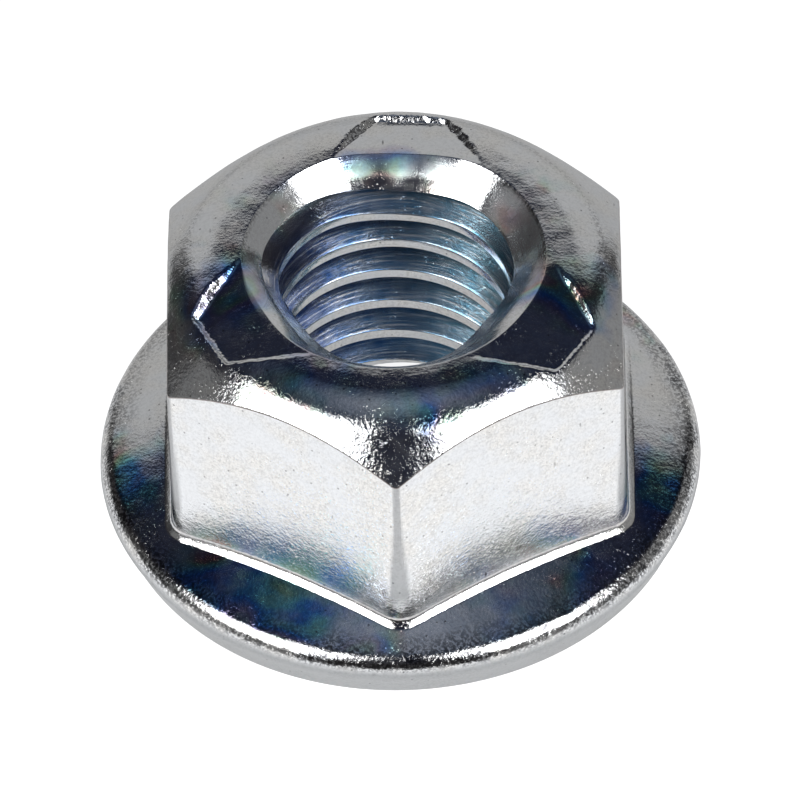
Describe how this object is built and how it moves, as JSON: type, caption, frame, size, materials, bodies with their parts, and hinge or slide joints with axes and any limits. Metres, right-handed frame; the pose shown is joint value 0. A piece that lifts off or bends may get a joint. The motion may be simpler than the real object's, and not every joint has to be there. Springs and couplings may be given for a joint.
{
  "type": "prevailing torque flange nut",
  "caption": "Hexagon nut with a broad washer flange, a domed top crimped at three points to grip the bolt, and a countersunk right-hand thread.",
  "frame": {"origin": "centre of the hole on the flange's bearing face", "axes": "+Z along the thread from the bearing face towards the crimped top; -Y towards one corner of the hexagon"},
  "size_m": [0.0172, 0.0172, 0.0092],
  "materials": {
    "zinc_plate": "bright zinc plate with a blue passivate"
  },
  "bodies": {
    "root": {"flange_nut": "zinc_plate"}
  },
  "joints": []
}
